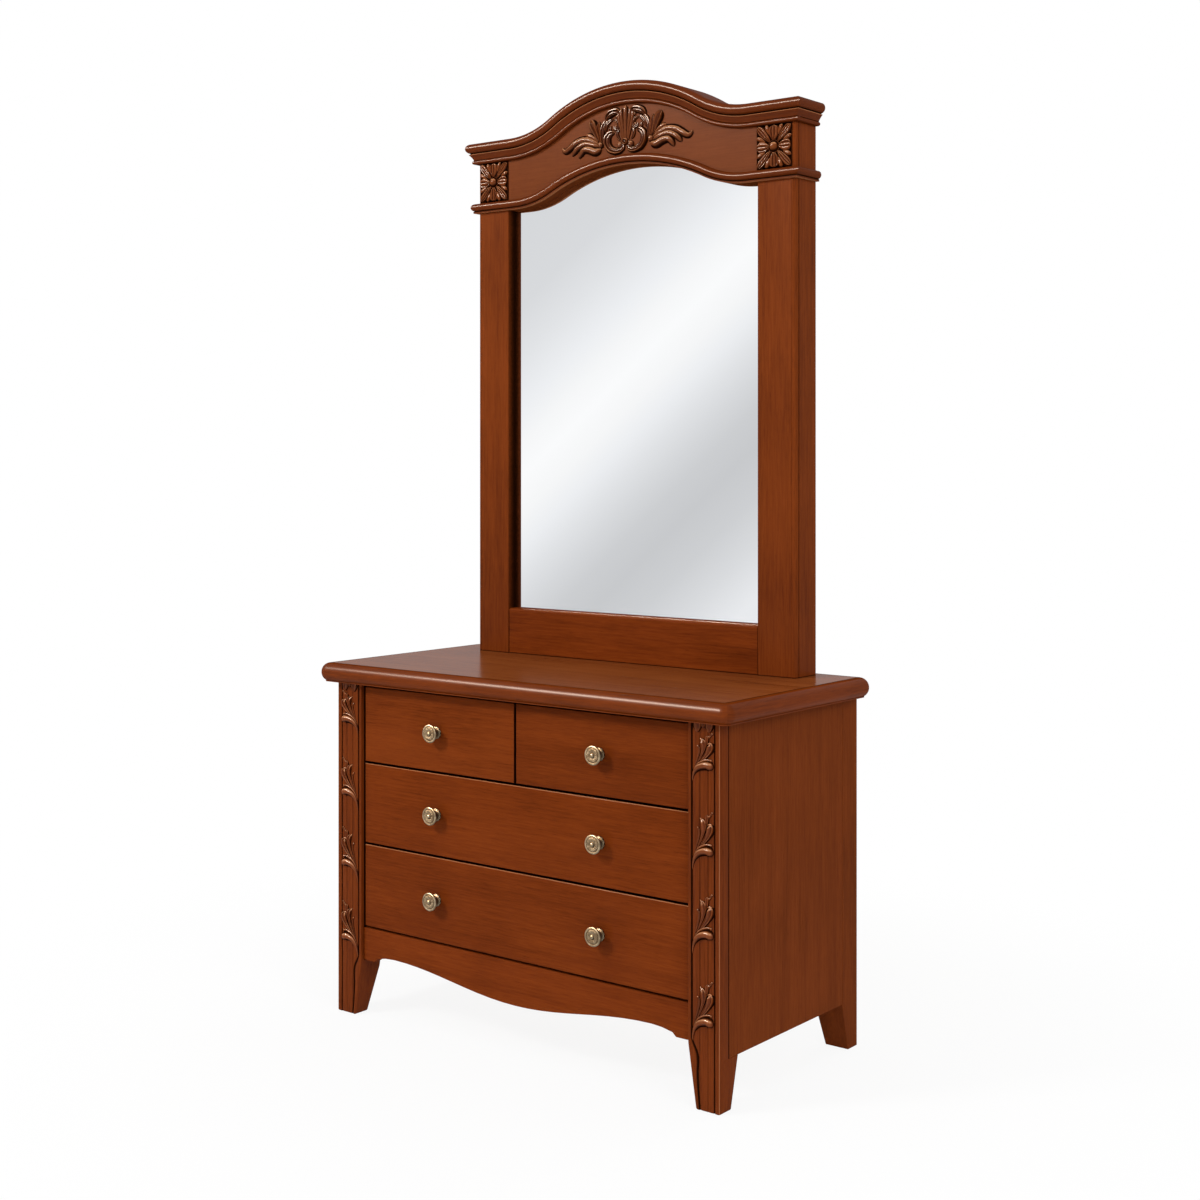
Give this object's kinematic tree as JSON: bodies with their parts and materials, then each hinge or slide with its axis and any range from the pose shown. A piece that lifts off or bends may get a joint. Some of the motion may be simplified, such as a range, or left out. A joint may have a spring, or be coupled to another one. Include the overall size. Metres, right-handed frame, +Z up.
{
  "type": "dressing table with mirror and drawers",
  "caption": "Wooden dressing table: a chest of drawers on tapered feet carries a tall mirror whose arched crest has a crown moulding and carved ornament.",
  "frame": {"origin": "on the floor under the middle of the top board's outline", "axes": "+Z up; -Y towards the user, the way the drawers open; +X to the viewer's right from the front"},
  "size_m": [1, 0.51, 1.9048],
  "materials": {
    "stained_wood": "satin lacquer",
    "carved_wood": "satin lacquer",
    "drawer_wood": "matte",
    "plywood": "matte",
    "antique_brass": "antique satin",
    "mirror_glass": "polished"
  },
  "bodies": {
    "cabinet": {"front_post_left": "stained_wood", "rear_post_left": "stained_wood", "side_panel_left": "stained_wood", "front_post_right": "stained_wood", "rear_post_right": "stained_wood", "side_panel_right": "stained_wood", "bottom_divider": "drawer_wood", "bottom_guide_left": "drawer_wood", "bottom_guide_right": "drawer_wood", "middle_divider": "drawer_wood", "middle_guide_left": "drawer_wood", "middle_guide_right": "drawer_wood", "upper_divider": "drawer_wood", "upper_guide_left": "drawer_wood", "upper_guide_right": "drawer_wood", "drawer_partition": "drawer_wood", "back_panel": "plywood", "apron": "stained_wood", "top_panel": "stained_wood", "top_edging_front": "stained_wood", "top_edging_back": "stained_wood", "top_edging_left": "stained_wood", "top_edging_right": "stained_wood", "mirror_post_left": "stained_wood", "rosette_left": "carved_wood", "mirror_post_right": "stained_wood", "rosette_right": "carved_wood", "mirror_rail": "stained_wood", "crest_board": "stained_wood", "crest_bead": "stained_wood", "crown_moulding": "stained_wood", "crest_carving": "carved_wood", "mirror_glass": "mirror_glass", "mirror_backboard": "plywood"},
    "small_drawer_left": {"small_drawer_left_front": "stained_wood", "small_drawer_left_side_left": "drawer_wood", "small_drawer_left_side_right": "drawer_wood", "small_drawer_left_back": "drawer_wood", "small_drawer_left_bottom": "plywood", "small_drawer_left_knob": "antique_brass"},
    "small_drawer_right": {"small_drawer_right_front": "stained_wood", "small_drawer_right_side_left": "drawer_wood", "small_drawer_right_side_right": "drawer_wood", "small_drawer_right_back": "drawer_wood", "small_drawer_right_bottom": "plywood", "small_drawer_right_knob": "antique_brass"},
    "middle_drawer": {"middle_drawer_front": "stained_wood", "middle_drawer_side_left": "drawer_wood", "middle_drawer_side_right": "drawer_wood", "middle_drawer_back": "drawer_wood", "middle_drawer_bottom": "plywood", "middle_drawer_knob_left": "antique_brass", "middle_drawer_knob_right": "antique_brass"},
    "bottom_drawer": {"bottom_drawer_front": "stained_wood", "bottom_drawer_side_left": "drawer_wood", "bottom_drawer_side_right": "drawer_wood", "bottom_drawer_back": "drawer_wood", "bottom_drawer_bottom": "plywood", "bottom_drawer_knob_left": "antique_brass", "bottom_drawer_knob_right": "antique_brass"}
  },
  "joints": [
    {"name": "small_drawer_left_slide", "type": "slide", "parent": "cabinet", "child": "small_drawer_left", "axis": [0, -1, 0], "range_m": [0, 0.3]},
    {"name": "small_drawer_right_slide", "type": "slide", "parent": "cabinet", "child": "small_drawer_right", "axis": [0, -1, 0], "range_m": [0, 0.3]},
    {"name": "middle_drawer_slide", "type": "slide", "parent": "cabinet", "child": "middle_drawer", "axis": [0, -1, 0], "range_m": [0, 0.3]},
    {"name": "bottom_drawer_slide", "type": "slide", "parent": "cabinet", "child": "bottom_drawer", "axis": [0, -1, 0], "range_m": [0, 0.3]}
  ]
}
